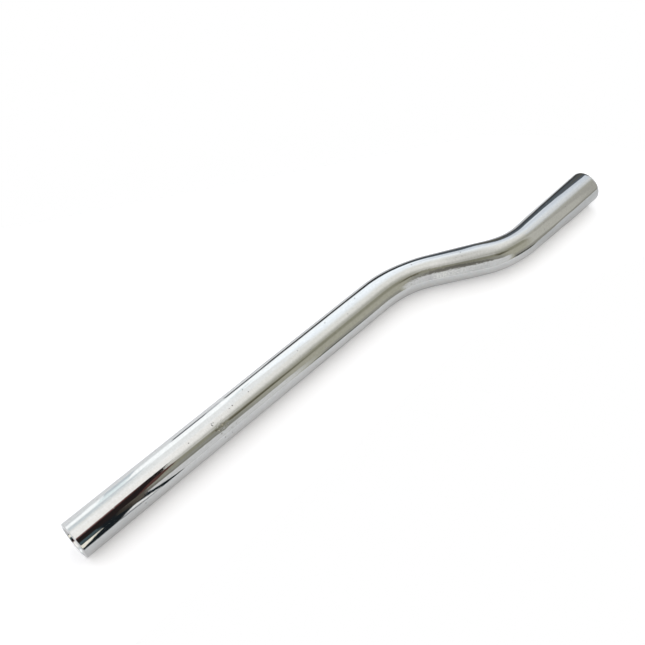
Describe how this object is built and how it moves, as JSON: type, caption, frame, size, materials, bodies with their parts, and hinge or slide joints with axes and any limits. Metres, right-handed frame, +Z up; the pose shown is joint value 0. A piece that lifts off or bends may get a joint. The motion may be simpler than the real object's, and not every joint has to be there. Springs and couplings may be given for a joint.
{
  "type": "bicycle seat post",
  "caption": "Layback bicycle seat post: a chromed steel tube with an S-bend that sets the saddle back, lying on its side.",
  "frame": {"origin": "bottom centre of the bounding box, on the surface that the post lies on", "axes": "+X along the tube from the seat tube end to the saddle end, +Z up, square to the side that the post lies on; the saddle end is offset towards -Y"},
  "size_m": [0.3926, 0.0578, 0.0222],
  "materials": {
    "chromed_steel": "bright chrome plate on steel, lightly worn, with a few small rust pits"
  },
  "bodies": {
    "root": {"seat_post_tube": "chromed_steel"}
  },
  "joints": []
}
